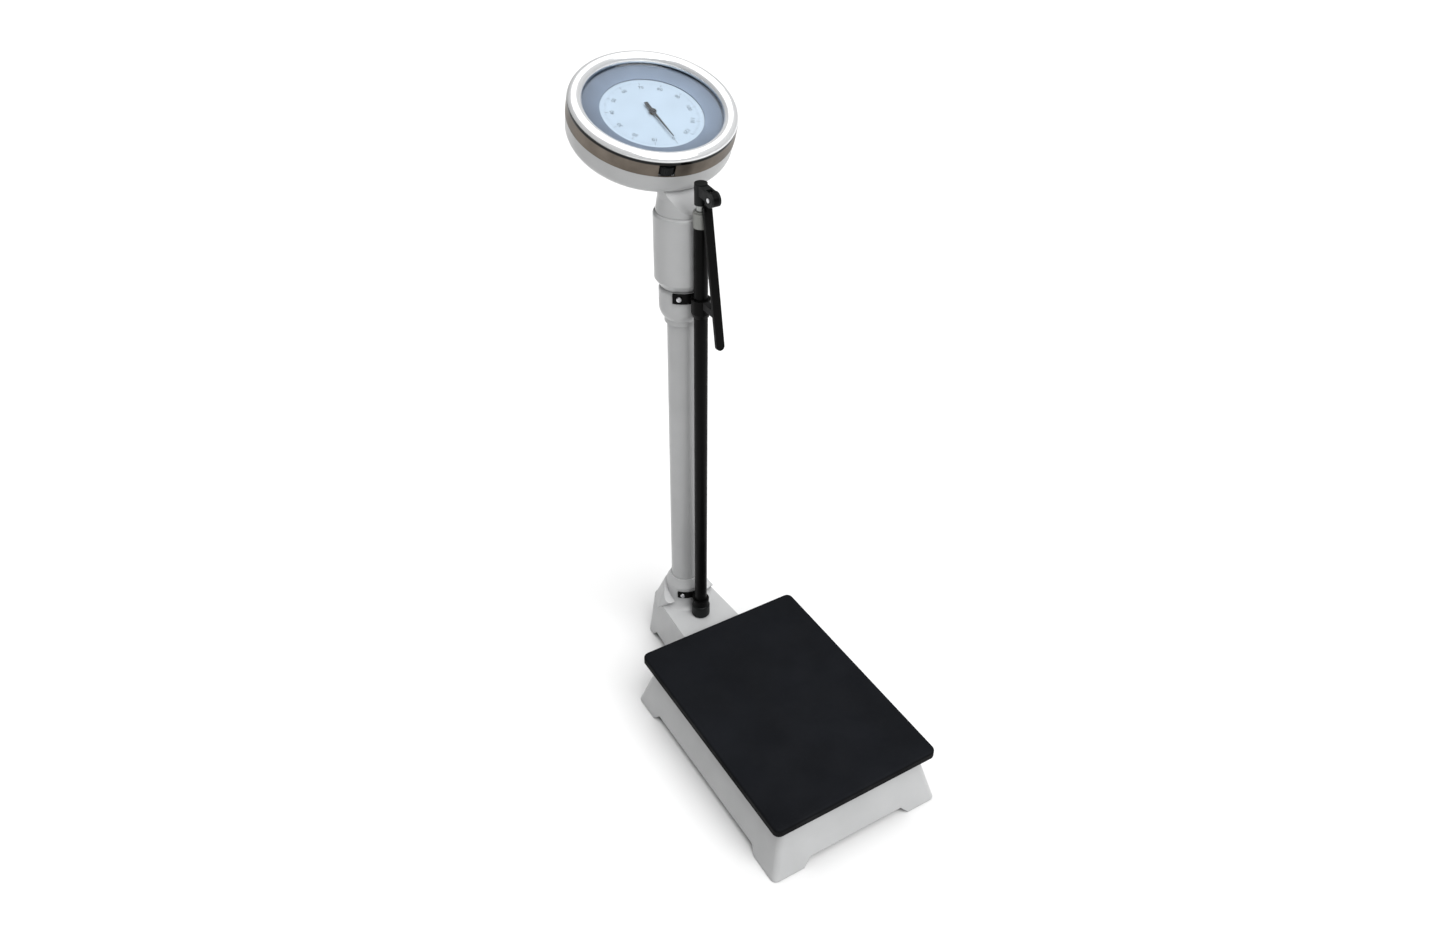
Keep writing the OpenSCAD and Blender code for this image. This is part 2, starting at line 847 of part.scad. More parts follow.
// Two plates on pillars: the lower one bears the spindle, the upper one the dial
module movement_frame() {
    floor_z = -head_depth + shell_wall;
    color(steel) in_head() difference() {
        union() {
            translate([0, 0, frame_z]) linear_extrude(2)
                rounded_rect(2 * pillar_x + 10, 2 * pillar_y + 10, 5);
            translate([0, 0, plate_gap_z]) linear_extrude(1)
                rounded_rect(2 * pillar_x + 10, 2 * pillar_y + 10, 5);
            for (x = [-1, 1], y = [-1, 1]) translate([x * pillar_x, y * pillar_y, floor_z])
                cylinder(r = pillar_r, h = plate_gap_z + 0.5 - floor_z);
            translate([0, 0, frame_z - 1]) cylinder(r = 4, h = 3);
        }
        translate([0, 0, -head_depth]) cylinder(r = 1.5 + spindle_clear, h = head_depth);
    }
}

rack_x = pinion_r;

crank_s = (crank_y - head_y) * cos(head_tilt) + (crank_z - head_z) * sin(head_tilt);
crank_d = (crank_z - head_z) * cos(head_tilt) - (crank_y - head_y) * sin(head_tilt);
crank_tip_rest = crank_s + crank_arm * sin(crank_swing / 2);

module rack() {
    pitch = PI * tooth_module;
    front = pull_travel + 6;
    rear = crank_tip_rest;
    back = 4;
    root = tooth_module * 1.25;
    tab_y = 3.9;
    tab_t = 2;
    low = rear - tab_y - tab_t / 2;
    color(steel) in_head() translate([rack_x, 0, rack_z]) {
        linear_extrude(rack_h) {
            translate([root, low]) square([back, front - low]);
            for (i = [-2:floor((front - 1) / pitch)]) translate([0, (i + 0.5) * pitch])
                polygon([
                    [root + 0.1, -pitch * 0.3], [0, -pitch * 0.2],
                    [-tooth_module * 0.7, -pitch * 0.07],
                    [-tooth_module * 0.7, pitch * 0.07], [0, pitch * 0.2],
                    [root + 0.1, pitch * 0.3]
                ]);
        }
        for (y = [-1, 1]) translate([root + back - eps, rear + y * tab_y - tab_t / 2, 0])
            cube([4, tab_t, rack_h]);
    }
}

crank_hole_r = 2.5;

module bell_crank() {
    color(steel) translate([0, crank_y, crank_z]) rotate([-crank_swing / 2, 0, 0])
        rotate([0, 90, 0]) difference() {
            union() {
                for (x = [-1, 1]) translate([0, 0, x * 2 - 1]) linear_extrude(2)
                    front_arm();
                translate([0, 0, -3]) cylinder(r = 5, h = 6);
                translate([0, 0, rack_x + tooth_module * 1.25 + 4.5]) linear_extrude(2.5)
                    upper_arm();
                translate([0, 0, -3]) cylinder(r = 4.5, h = 13);
            }
            cylinder(r = crank_hole_r, h = 40, center = true);
        }
}

module front_arm() {
    difference() {
        round_bar([0, 0], [0, -crank_arm - 1], 6);
        round_bar([0, -crank_arm - 3], [0, -crank_arm + 2], 3.6);
    }
}

module upper_arm() {
    rotate(head_tilt) round_bar([0, 0], [-crank_arm - 1, 0], 3.6);
}

bracket_w = 32;

module crank_bracket() {
    color(steel) difference() {
        for (x = [-1, 1]) translate([x * (bracket_w / 2 - 2), crank_y, crank_z]) hull() {
            rotate([0, 90, 0]) cylinder(r = 5, h = 3, center = true, $fn = 32);
            translate([-1.5, -8, -30]) cube([3, 24, 1]);
        }
        in_head() translate([0, 0, -head_depth - 40]) cylinder(r = 150, h = 40 + shell_wall);
        translate([0, crank_y, crank_z]) rotate([0, 90, 0])
            cylinder(r = 2.45, h = 60, center = true);
    }
}

module crank_pin() {
    color(steel) translate([0, crank_y, crank_z]) rotate([0, 90, 0])
        cylinder(r = 2.45, h = bracket_w + 4, center = true);
}

// ---------- zero wheel ----------

wheel_low = -20;
wheel_h = 11;

module zero_wheel() {
    knurls = 24;
    color(black) in_head() rotate(wheel_angle) translate([wheel_centre_r, 0, wheel_low])
        linear_extrude(wheel_h) difference() {
            circle(wheel_r);
            circle(2.55);
            for (i = [0:knurls - 1]) rotate((i + 0.5) * 360 / knurls)
                translate([wheel_r + 0.3, 0]) circle(0.8, $fn = 16);
        }
}

module zero_wheel_pin() {
    floor_z = -head_depth + shell_fillet;
    color(steel) in_head() rotate(wheel_angle) translate([wheel_centre_r, 0, floor_z]) {
        cylinder(r = 2.5, h = wheel_low + wheel_h + 1 - floor_z);
        translate([-20, -5, 0]) cube([22, 10, 2]);
        translate([-20, -5, -shell_fillet + shell_wall]) cube([2, 10, shell_fillet - shell_wall]);
        cylinder(r = 4, h = wheel_low - gap - floor_z);
    }
}

// ---------- height rod ----------

module rod_outer_tube() {
    color(black) at_rod() translate([0, 0, rod_low])
        pipe(rod_r, rod_r - rod_wall, rod_top - rod_low);
}

cap_r = 14.3;

// Foot socket of the rod, standing on the column foot's deck
module rod_bottom_cap() {
    low = deck_z + pad_lift + 0.1;
    h = 22;
    edge = 3;
    color(black) difference() {
        at_rod() translate([0, 0, low]) rotate_extrude() difference() {
            union() {
                translate([0, edge]) square([cap_r, h - 2 * edge]);
                square([cap_r - edge, h]);
                for (z = [edge, h - edge]) translate([cap_r - edge, z]) circle(edge);
            }
            translate([0, rod_low - low]) square([rod_r, h]);
            translate([-20, -20]) square([20, 100]);
        }
        at_column() translate([0, 0, -gap]) cylinder_flare_room();
    }
}

// Room that the column's flare takes out of the socket's back
module cylinder_flare_room() {
    flare_top = deck_z + flare_r;
    rotate_extrude() difference() {
        translate([0, deck_z]) square([collar_r + flare_r + 1, 40]);
        translate([collar_r + flare_r + 1, flare_top + 1]) circle(flare_r + gap);
        translate([collar_r + gap + 1, flare_top + 1]) square([flare_r + 1, 60]);
    }
}

lower_strap_h = 11;
upper_strap_h = 14.5;
strap_t = 2.5;
strap_reach = 52;
clamp_r = rod_r + 3.5;

// Strap round a collar of the column, with a clamp for the rod in front
module rod_bracket(seat_r, strap_h) {
    web_w = 12;
    web_step = 1;
    difference() {
        union() {
            at_column() rotate(-90 - strap_reach) rotate_extrude(angle = 2 * strap_reach)
                translate([seat_r, 0]) square([strap_t, strap_h]);
            at_rod() cylinder(r = clamp_r, h = strap_h);
            difference() {
                at_rod() translate([-web_w / 2, 0, web_step])
                    cube([web_w, rod_front, strap_h - 2 * web_step]);
                at_column() cylinder(r = seat_r + strap_t / 2, h = strap_h);
            }
            children();
        }
        at_rod() translate([0, 0, -4 * strap_h]) cylinder(r = rod_r, h = 8 * strap_h);
        at_column() for (x = [-1, 1]) rotate(x * screw_angle) translate([0, 0, strap_h / 2])
            rotate([90, 0, 0]) cylinder(r = screw_r + 0.2, h = 60);
    }
}

screw_angle = 37;
screw_r = 2;
lower_strap_z = 101;
upper_strap_z = ball_low + ball_h - upper_strap_h - 1;

module lower_bracket() {
    color(black) translate([0, 0, lower_strap_z])
        rod_bracket(collar_r + gap, lower_strap_h);
}

module upper_bracket() {
    skirt_h = 12;
    skirt_taper = 2;
    color(black) translate([0, 0, upper_strap_z]) rod_bracket(ball_r + gap, upper_strap_h)
        at_rod() translate([0, 0, -skirt_h]) difference() {
            union() {
                cylinder(r1 = clamp_r - skirt_taper, r2 = clamp_r, h = skirt_h / 2);
                translate([0, 0, skirt_h / 2]) cylinder(r = clamp_r, h = skirt_h / 2 + 1);
            }
            translate([-clamp_r - eps, 6, -eps])
                cube([2 * clamp_r + 2 * eps, clamp_r, skirt_h + eps]);
        }
}

module bracket_screws() {
    color(steel) at_column() for (x = [-1, 1], k = [0, 1]) {
        seat = k == 0 ? collar_r + gap : ball_r + gap;
        z = k == 0 ? lower_strap_z + lower_strap_h / 2 : upper_strap_z + upper_strap_h / 2;
        rotate(x * screw_angle) translate([0, -seat, z]) rotate([90, 0, 0]) {
            cylinder(r = screw_r, h = strap_t);
            translate([0, 0, strap_t]) cylinder(r1 = 4, r2 = 2.6, h = 2);
        }
    }
}

// Rubber buffer on the upper bracket's clamp that the folded arm leans against
module arm_clip() {
    clip_h = 10;
    clip_w = 9;
    bond = 0.05;
    low = upper_strap_z + upper_strap_h - clip_h;
    back = rod_y - clamp_r - bond;
    front = hinge_y + (arm_offset + arm_t / 2) / cos(arm_lean)
        - (hinge_z - low) * tan(arm_lean) + gap;
    color(black) translate([-clip_w / 2, front, low]) difference() {
        cube([clip_w, back - front, clip_h]);
        // The front follows the arm's lean
        rotate([-arm_lean, 0, 0]) translate([-eps, -clip_w, -clip_h])
            cube([clip_w + 2 * eps, clip_w, 4 * clip_h]);
    }
}

module rod_middle_tube() {
    low = rod_low + tube_base;
    color(steel) at_rod() translate([0, 0, low])
        pipe(middle_r, middle_r - rod_wall, rod_top + collar_h - 4 - low);
}

module rod_middle_collar() {
    color(paint) at_rod() translate([0, 0, rod_top + gap]) rotate_extrude() difference() {
        union() {
            square([rod_r + 0.8, collar_h - 2]);
            square([rod_r - 0.5, collar_h]);
        }
        square([middle_r, collar_h - 4 - gap]);
        square([inner_r + rod_clear / 2, collar_h + 1]);
    }
}

module rod_inner_tube() {
    low = rod_low + 2 * tube_base;
    high = rod_top + collar_h + inner_show + 12;
    color(steel) at_rod() translate([0, 0, low])
        pipe(inner_r, inner_r - rod_wall, high - low);
}

// Sleeve on the inner tube with a beam forward to the forked knuckle
module hinge_head() {
    beam_h = 13;
    sleeve_h = 28;
    color(black) difference() {
        union() {
            at_rod() translate([0, 0, sleeve_z]) cylinder(r = rod_r - 1, h = sleeve_h);
            translate([-cheek_w / 2, 0, 0]) rotate([90, 0, 90]) linear_extrude(cheek_w) {
                round_bar([rod_y, hinge_z + 3.5], [hinge_y, hinge_z + 2], beam_h);
                translate([hinge_y, hinge_z]) circle(hinge_r);
            }
        }
        at_rod() translate([0, 0, sleeve_z - eps]) cylinder(r = inner_r, h = 12 + eps);
        translate([-knuckle_w / 2 - gap, hinge_y - 20, hinge_z - 20])
            cube([knuckle_w + 2 * gap, 20 + hinge_r + 1.5, 40]);
        translate([0, hinge_y, hinge_z]) rotate([0, 90, 0])
            cylinder(r = hinge_hole_r, h = 60, center = true);
    }
}

module hinge_pin() {
    color(steel) translate([0, hinge_y, hinge_z]) rotate([0, 90, 0]) {
        cylinder(r = hinge_hole_r, h = cheek_w + 2, center = true);
    }
}

// Flat arm hung behind its knuckle, so that its underside comes lowest when it is raised
module measuring_arm() {
    top = 9;
    color(black) translate([0, hinge_y, hinge_z]) rotate([-arm_lean, 0, 0]) {
        difference() {
            union() {
                rotate([0, 90, 0]) cylinder(r = hinge_r, h = knuckle_w, center = true);
                translate([-knuckle_w / 2, 0, -hinge_r])
                    cube([knuckle_w, arm_offset, hinge_r]);
                translate([-knuckle_w / 2, arm_offset - arm_t, -top - 9])
                    cube([knuckle_w, arm_t, 12]);
            }
            rotate([0, 90, 0])
                cylinder(r = hinge_hole_r + 0.05, h = 60, center = true);
            translate([-10, hinge_r + 0.5, -7]) cube([20, 20, 30]);
        }
        translate([0, arm_offset + arm_t / 2, 0]) rotate([90, 0, 0]) linear_extrude(arm_t)
            round_bar([0, -top - arm_w / 2], [0, -arm_len + arm_w / 2], arm_w);
    }
}

base_casting();
foot_pads();
column_foot();
foot_bolts();
fulcrum_stands();
main_lever();
main_lever_knives();
short_lever();
short_lever_knives();
platform_plate();
platform_posts();
platform_mat();
column_tube();
ball_collar();
spring_housing();
neck();
pull_rod();
main_spring();
spring_cap();
head_shell();
bezel_ring();
glass();
dial_surround();
dial_plate();
pointer();
pinion_spindle();
movement_frame();
bell_crank();
crank_bracket();
crank_pin();
rack();
zero_wheel();
zero_wheel_pin();
rod_outer_tube();
rod_bottom_cap();
lower_bracket();
upper_bracket();
bracket_screws();
arm_clip();
rod_middle_tube();
rod_middle_collar();
rod_inner_tube();
hinge_head();
hinge_pin();
measuring_arm();
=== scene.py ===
"""Looks of a dial column scale: materials, printed scales, screws, floor, light and camera."""
import json
import math

import bmesh
import bpy
from mathutils import Matrix, Vector


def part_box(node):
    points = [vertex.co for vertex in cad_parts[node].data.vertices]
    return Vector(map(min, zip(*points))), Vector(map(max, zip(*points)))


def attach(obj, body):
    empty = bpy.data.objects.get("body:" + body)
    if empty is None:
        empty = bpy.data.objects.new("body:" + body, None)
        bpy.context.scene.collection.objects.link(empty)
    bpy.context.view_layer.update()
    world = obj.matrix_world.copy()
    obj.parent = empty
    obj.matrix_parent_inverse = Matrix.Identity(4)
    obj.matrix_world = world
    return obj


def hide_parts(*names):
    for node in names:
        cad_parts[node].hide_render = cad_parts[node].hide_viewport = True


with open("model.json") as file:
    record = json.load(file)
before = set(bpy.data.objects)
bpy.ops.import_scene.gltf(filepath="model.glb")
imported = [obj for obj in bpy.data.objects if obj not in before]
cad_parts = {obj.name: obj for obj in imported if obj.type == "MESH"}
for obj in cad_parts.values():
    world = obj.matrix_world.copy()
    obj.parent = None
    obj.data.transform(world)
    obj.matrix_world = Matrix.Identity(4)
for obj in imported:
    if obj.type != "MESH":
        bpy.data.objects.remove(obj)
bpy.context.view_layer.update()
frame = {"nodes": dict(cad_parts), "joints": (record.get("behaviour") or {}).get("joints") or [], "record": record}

MM = 0.001
nodes = frame["nodes"]
joints = {j["name"]: j for j in frame["joints"]}

# ---------- places read from the frame ----------


def axis_frame(origin, out, across=(1, 0, 0)):
    """Matrix of a local frame whose z points along out and whose x lies along across."""
    z = Vector(out).normalized()
    x = Vector(across)
    x = (x - z * x.dot(z)).normalized()
    y = z.cross(x)
    return Matrix.Translation(Vector(origin)) @ Matrix((x, y, z)).transposed().to_4x4()


def reach_along(node, place):
    """Lowest and highest z of a CAD node in a local frame."""
    inverse = place.inverted()
    heights = [(inverse @ v.co).z for v in nodes[node].data.vertices]
    return min(heights), max(heights)


def radii_about(node, place):
    """Smallest and largest distance of a CAD node's vertices from a local frame's z axis."""
    inverse = place.inverted()
    found = [(inverse @ v.co).xy.length for v in nodes[node].data.vertices]
    return min(found), max(found)


dial_joint = joints["pointer_turn"]
HEAD = axis_frame(dial_joint["pos_m"], -Vector(dial_joint["axis"]))
column_low, column_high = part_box("column_tube")
COLUMN_AXIS = (column_low + column_high) / 2
rod_low, rod_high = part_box("rod_outer_tube")
ROD_AXIS = (rod_low + rod_high) / 2

# ---------- node helpers for the materials ----------


class Shader:
    """A material with one Principled shader and the few nodes that these looks need."""

    def __init__(self, name, color, roughness, metallic=0.0, specular=0.5):
        self.material = bpy.data.materials.new(name)
        self.material.use_nodes = True
        self.tree = self.material.node_tree
        self.tree.nodes.clear()
        self.output = self.add("ShaderNodeOutputMaterial")
        self.surface = self.add("ShaderNodeBsdfPrincipled")
        self.link(self.surface.outputs[0], self.output.inputs[0])
        self.set("Base Color", (*color, 1))
        self.set("Roughness", roughness)
        self.set("Metallic", metallic)
        self.set("Specular IOR Level", specular)
        self.place = self.add("ShaderNodeTexCoord").outputs["Object"]

    def add(self, kind):
        return self.tree.nodes.new(kind)

    def link(self, a, b):
        self.tree.links.new(a, b)

    def set(self, socket, value):
        self.surface.inputs[socket].default_value = value

    def noise(self, size, detail=3.0, stretch=(1, 1, 1)):
        """Noise whose blotches are about size metres wide."""
        mapping = self.add("ShaderNodeMapping")
        mapping.inputs["Scale"].default_value = stretch
        self.link(self.place, mapping.inputs["Vector"])
        noise = self.add("ShaderNodeTexNoise")
        noise.inputs["Scale"].default_value = 1 / size
        noise.inputs["Detail"].default_value = detail
        self.link(mapping.outputs[0], noise.inputs["Vector"])
        return noise.outputs["Fac"]

    def cells(self, size):
        """Rounded cells about size metres wide."""
        cells = self.add("ShaderNodeTexVoronoi")
        cells.feature = "SMOOTH_F1"
        cells.inputs["Scale"].default_value = 1 / size
        self.link(self.place, cells.inputs["Vector"])
        return cells.outputs["Distance"]

    def spread(self, value, low, high, from_low=0.3, from_high=0.7):
        """Maps a value onto a range."""
        node = self.add("ShaderNodeMapRange")
        for socket, number in zip(
            ("From Min", "From Max", "To Min", "To Max"), (from_low, from_high, low, high)
        ):
            node.inputs[socket].default_value = number
        self.link(value, node.inputs["Value"])
        return node.outputs[0]

    def tint(self, value, low, high, start=0.3, end=0.7):
        """Colours between low and high as value goes from start to end."""
        ramp = self.add("ShaderNodeValToRGB")
        ramp.color_ramp.elements[0].position = start
        ramp.color_ramp.elements[1].position = end
        ramp.color_ramp.elements[0].color = (*low, 1)
        ramp.color_ramp.elements[1].color = (*high, 1)
        self.link(value, ramp.inputs["Fac"])
        return ramp.outputs["Color"]

    def mix(self, factor, a, b):
        """Colour a where factor is 0 and b where it is 1."""
        node = self.add("ShaderNodeMix")
        node.data_type = "RGBA"
        self.link(factor, node.inputs["Factor"])
        for socket, value in zip(("A", "B"), (a, b)):
            target = [i for i in node.inputs if i.name == socket and i.type == "RGBA"][0]
            if isinstance(value, tuple):
                target.default_value = (*value, 1)
            else:
                self.link(value, target)
        return [o for o in node.outputs if o.type == "RGBA"][0]

    def math(self, operation, a, b=0.0):
        """A sum or product of two values, each a socket or a number."""
        node = self.add("ShaderNodeMath")
        node.operation = operation
        for socket, value in zip(node.inputs, (a, b)):
            if isinstance(value, float):
                socket.default_value = value
            else:
                self.link(value, socket)
        return node.outputs[0]

    def rounded(self, radius):
        """Normal that rounds every edge by radius metres."""
        bevel = self.add("ShaderNodeBevel")
        bevel.samples = 4
        bevel.inputs["Radius"].default_value = radius
        return bevel.outputs[0]

    def edges(self, radius):
        """1 on edges and 0 on open faces, from how far the rounded normal leans."""
        lean = self.add("ShaderNodeVectorMath")
        lean.operation = "DOT_PRODUCT"
        self.link(self.rounded(radius), lean.inputs[0])
        self.link(self.add("ShaderNodeNewGeometry").outputs["Normal"], lean.inputs[1])
        return self.spread(lean.outputs["Value"], 1.0, 0.0, 0.75, 0.99)

    def bump(self, height, depth, normal=None, strength=1.0):
        """Normal bumped by a height of 0 to 1 over depth metres."""
        bump = self.add("ShaderNodeBump")
        bump.inputs["Strength"].default_value = strength
        bump.inputs["Distance"].default_value = depth
        self.link(height, bump.inputs["Height"])
        if normal is not None:
            self.link(normal, bump.inputs["Normal"])
        return bump.outputs[0]

    def color(self, value):
        self.link(value, self.surface.inputs["Base Color"])

    def rough(self, value):
        self.link(value, self.surface.inputs["Roughness"])

    def normal(self, value):
        self.link(value, self.surface.inputs["Normal"])


def scaled(color, factor):
    return tuple(c * factor for c in color)


# ---------- materials ----------


def enamel(name, color, edge_r=0.8 * MM):
    """Stove enamel on cast and pressed metal: faint orange peel, clouding and chipped edges."""
    s = Shader(name, color, 0.35, specular=0.4)
    cloud = s.tint(s.noise(60 * MM, 4), scaled(color, 0.94), scaled(color, 1.04))
    speck = s.spread(s.noise(1.1 * MM, 2), 0.0, 0.5, 0.66, 0.78)
    soiled = s.mix(speck, cloud, scaled(color, 0.78))
    wear = s.math("MULTIPLY", s.edges(edge_r), s.spread(s.noise(9 * MM, 5), 0.0, 0.45, 0.5, 0.7))
    s.color(s.mix(wear, soiled, scaled(color, 0.72)))
    s.rough(s.spread(s.noise(25 * MM, 5), 0.28, 0.45))
    s.set("Coat Weight", 0.25)
    s.set("Coat Roughness", 0.2)
    s.normal(s.bump(s.noise(1.6 * MM, 2), 0.05 * MM, s.rounded(edge_r), 0.5))
    return s.material


def grained_rubber(name, color, grain=0.9 * MM, specular=0.25, top=None):
    """Rubber with a pebbled grain and grey dust in it; given a top height, the sides below that top get painted
    shade.
    """
    s = Shader(name, color, 0.7, specular=specular)
    cloud = s.tint(s.noise(90 * MM, 5), scaled(color, 0.8), scaled(color, 1.25))
    dust = s.spread(s.noise(3 * MM, 6), 0.0, 0.35, 0.58, 0.75)
    dust_and_side_shade = s.mix(dust, cloud, scaled(color, 1.9))
    if top is not None:
        height = s.add("ShaderNodeSeparateXYZ")
        s.link(s.place, height.inputs[0])
        # painted shade: the sides below the top are darkened, as sides that face away from the light
        painted_side_shade = s.spread(height.outputs["Z"], 1.0, 0.0, top - 3 * MM, top - 0.5 * MM)
        dust_and_side_shade = s.mix(painted_side_shade, dust_and_side_shade, scaled(color, 0.3))
    s.color(dust_and_side_shade)
    s.rough(s.spread(s.noise(40 * MM, 4), 0.55, 0.8))
    s.normal(s.bump(s.cells(grain), 0.12 * MM, s.rounded(1.0 * MM), 0.6))
    return s.material


def plated_steel(name, color, roughness=0.3):
    """Zinc plated or turned steel with fine scratches."""
    s = Shader(name, color, roughness, metallic=1.0)
    s.color(s.tint(s.noise(12 * MM, 5), scaled(color, 0.85), scaled(color, 1.05)))
    scratch = s.noise(0.8 * MM, 4, (1, 1, 12))
    s.rough(s.spread(scratch, roughness * 0.7, roughness * 1.5))
    s.normal(s.bump(scratch, 0.02 * MM, s.rounded(0.3 * MM), 0.4))
    return s.material


def gloss_black(name, color, roughness, edge_r=0.5 * MM, specular=0.35):
    """Black enamel or moulding with a slight unevenness and greyed edges."""
    s = Shader(name, color, roughness, specular=specular)
    cloud = s.tint(s.noise(30 * MM, 4), scaled(color, 0.8), scaled(color, 1.3))
    wear = s.math("MULTIPLY", s.edges(edge_r), s.spread(s.noise(5 * MM, 5), 0.0, 0.5, 0.52, 0.7))
    s.color(s.mix(wear, cloud, scaled(color, 3.0)))
    s.rough(s.spread(s.noise(8 * MM, 5), roughness * 0.8, roughness * 1.25))
    s.normal(s.bump(s.noise(1.2 * MM, 2), 0.03 * MM, s.rounded(edge_r), 0.4))
    return s.material


def head_depth_of(s):
    """Distance in front of the dial centre's plane, along the head's axis, in metres."""
    along = HEAD.to_3x3().col[2]
    dot = s.add("ShaderNodeVectorMath")
    dot.operation = "DOT_PRODUCT"
    dot.inputs[1].default_value = along
    s.link(s.place, dot.inputs[0])
    return s.math("SUBTRACT", dot.outputs["Value"], float(along.dot(HEAD.translation)))


def head_radius_of(s):
    """Distance from the head's axis in metres."""
    offset = s.add("ShaderNodeVectorMath")
    offset.operation = "SUBTRACT"
    offset.inputs[1].default_value = HEAD.translation
    s.link(s.place, offset.inputs[0])
    cross = s.add("ShaderNodeVectorMath")
    cross.operation = "CROSS_PRODUCT"
    cross.inputs[1].default_value = HEAD.to_3x3().col[2]
    s.link(offset.outputs[0], cross.inputs[0])
    length = s.add("ShaderNodeVectorMath")
    length.operation = "LENGTH"
    s.link(cross.outputs[0], length.inputs[0])
    return length.outputs["Value"]


def polished_bezel(name):
    """Chrome: milky bright rolled edge, a painted dark reflection line under it and a duller band coloured with a
    painted warm grey reflection.
    """
    # line and band are painted reflection: the dark line stands for the reflection at the rolled edge, the warm
    # grey for what the side band reflects
    bright, line, band = (0.86, 0.87, 0.88), (0.02, 0.02, 0.02), (0.155, 0.132, 0.110)
    s = Shader(name, bright, 0.1, metallic=1.0)
    roll_end, roll_start = -1.2 * MM, 0.2 * MM
    band_start, line_end = -5.4 * MM, -4.2 * MM
    inner_r, outer_r = radii_about("bezel_ring", HEAD)
    middle_r = (inner_r + outer_r) / 2
    depth = head_depth_of(s)
    outside = s.spread(head_radius_of(s), 0.0, 1.0, middle_r + 3 * MM, middle_r + 5 * MM)
    under_roll = s.math("MULTIPLY", outside, s.spread(depth, 1.0, 0.0, roll_end, roll_start))
    on_band = s.spread(depth, 1.0, 0.0, band_start, line_end)
    # painted reflection on the side band, varied a little in tone, with the painted dark reflection line above it
    painted_band_reflection = s.tint(s.noise(35 * MM, 4), scaled(band, 0.75), scaled(band, 1.25))
    side = s.mix(on_band, line, painted_band_reflection)
    s.color(s.mix(under_roll, bright, side))
    s.link(s.spread(depth, 1.0, 0.45, roll_end, roll_start), s.surface.inputs["Metallic"])
    polish = s.spread(s.noise(1.5 * MM, 5, (1, 1, 6)), 0.08, 0.2)
    s.rough(s.math("ADD", polish, s.spread(depth, 0.3, 0.0, -5.2 * MM, -3.8 * MM)))
    s.normal(s.bump(s.noise(20 * MM, 3), 0.05 * MM, s.rounded(0.4 * MM), 0.3))
    return s.material


def window_glass(name):
    """Thin glass that lets light straight through and mirrors by its angle."""
    material = bpy.data.materials.new(name)
    material.use_nodes = True
    tree = material.node_tree
    tree.nodes.clear()
    output = tree.nodes.new("ShaderNodeOutputMaterial")
    mix = tree.nodes.new("ShaderNodeMixShader")
    clear = tree.nodes.new("ShaderNodeBsdfTransparent")
    gloss = tree.nodes.new("ShaderNodeBsdfGlossy")
    fresnel = tree.nodes.new("ShaderNodeFresnel")
    clear.inputs["Color"].default_value = (0.95, 0.98, 1.0, 1)
    gloss.inputs["Roughness"].default_value = 0.03
    fresnel.inputs["IOR"].default_value = 1.4
    # Fresnel from inside the pane would be total reflection, so only its outer face mirrors
    outside = tree.nodes.new("ShaderNodeMath")
    outside.operation = "SUBTRACT"
    outside.inputs[0].default_value = 1.0
    geometry = tree.nodes.new("ShaderNodeNewGeometry")
    tree.links.new(geometry.outputs["Backfacing"], outside.inputs[1])
    mirror = tree.nodes.new("ShaderNodeMath")
    mirror.operation = "MULTIPLY"
    tree.links.new(fresnel.outputs[0], mirror.inputs[0])
    tree.links.new(outside.outputs[0], mirror.inputs[1])
    tree.links.new(mirror.outputs[0], mix.inputs[0])
    tree.links.new(clear.outputs[0], mix.inputs[1])
    tree.links.new(gloss.outputs[0], mix.inputs[2])
    tree.links.new(mix.outputs[0], output.inputs[0])
    return material


def satin_surround(name):
    """Blue-grey ring between glass and dial, with painted shade making it darker towards its rim, under the bezel.
    """
    # outer is the painted shade colour at the rim, where the bezel overhangs the ring
    inner, outer = (0.17, 0.205, 0.27), (0.10, 0.12, 0.16)
    s = Shader(name, inner, 0.4, metallic=0.3)
    low, high = radii_about("dial_surround", HEAD)
    # painted shade growing towards the rim, mixed with random blotches of tone
    painted_rim_shade = s.spread(head_radius_of(s), 0.0, 1.0, low, high)
    rim_shade_and_blotch = s.math("ADD", painted_rim_shade, s.spread(s.noise(25 * MM, 4), -0.2, 0.2))
    s.color(s.tint(rim_shade_and_blotch, inner, outer, 0.0, 1.0))
    s.rough(s.spread(s.noise(10 * MM, 4), 0.3, 0.5))
    s.normal(s.bump(s.noise(0.6 * MM, 2), 0.02 * MM, strength=0.3))
    return s.material


def printed_face(name):
    """Bluish white lacquered dial with faint clouding."""
    pale = (0.47, 0.52, 0.58)
    s = Shader(name, pale, 0.45, specular=0.3)
    s.color(s.tint(s.noise(30 * MM, 4), scaled(pale, 0.95), scaled(pale, 1.04)))
    s.rough(s.spread(s.noise(6 * MM, 4), 0.4, 0.55))
    s.normal(s.bump(s.noise(0.5 * MM, 2), 0.01 * MM, strength=0.3))
    return s.material


def ink(name, color):
    """Matt printing ink of slightly uneven cover."""
    s = Shader(name, color, 0.6, specular=0.2)
    s.color(s.tint(s.noise(1.5 * MM, 3), scaled(color, 0.8), scaled(color, 1.4)))
    s.rough(s.spread(s.noise(2 * MM, 3), 0.5, 0.7))
    return s.material


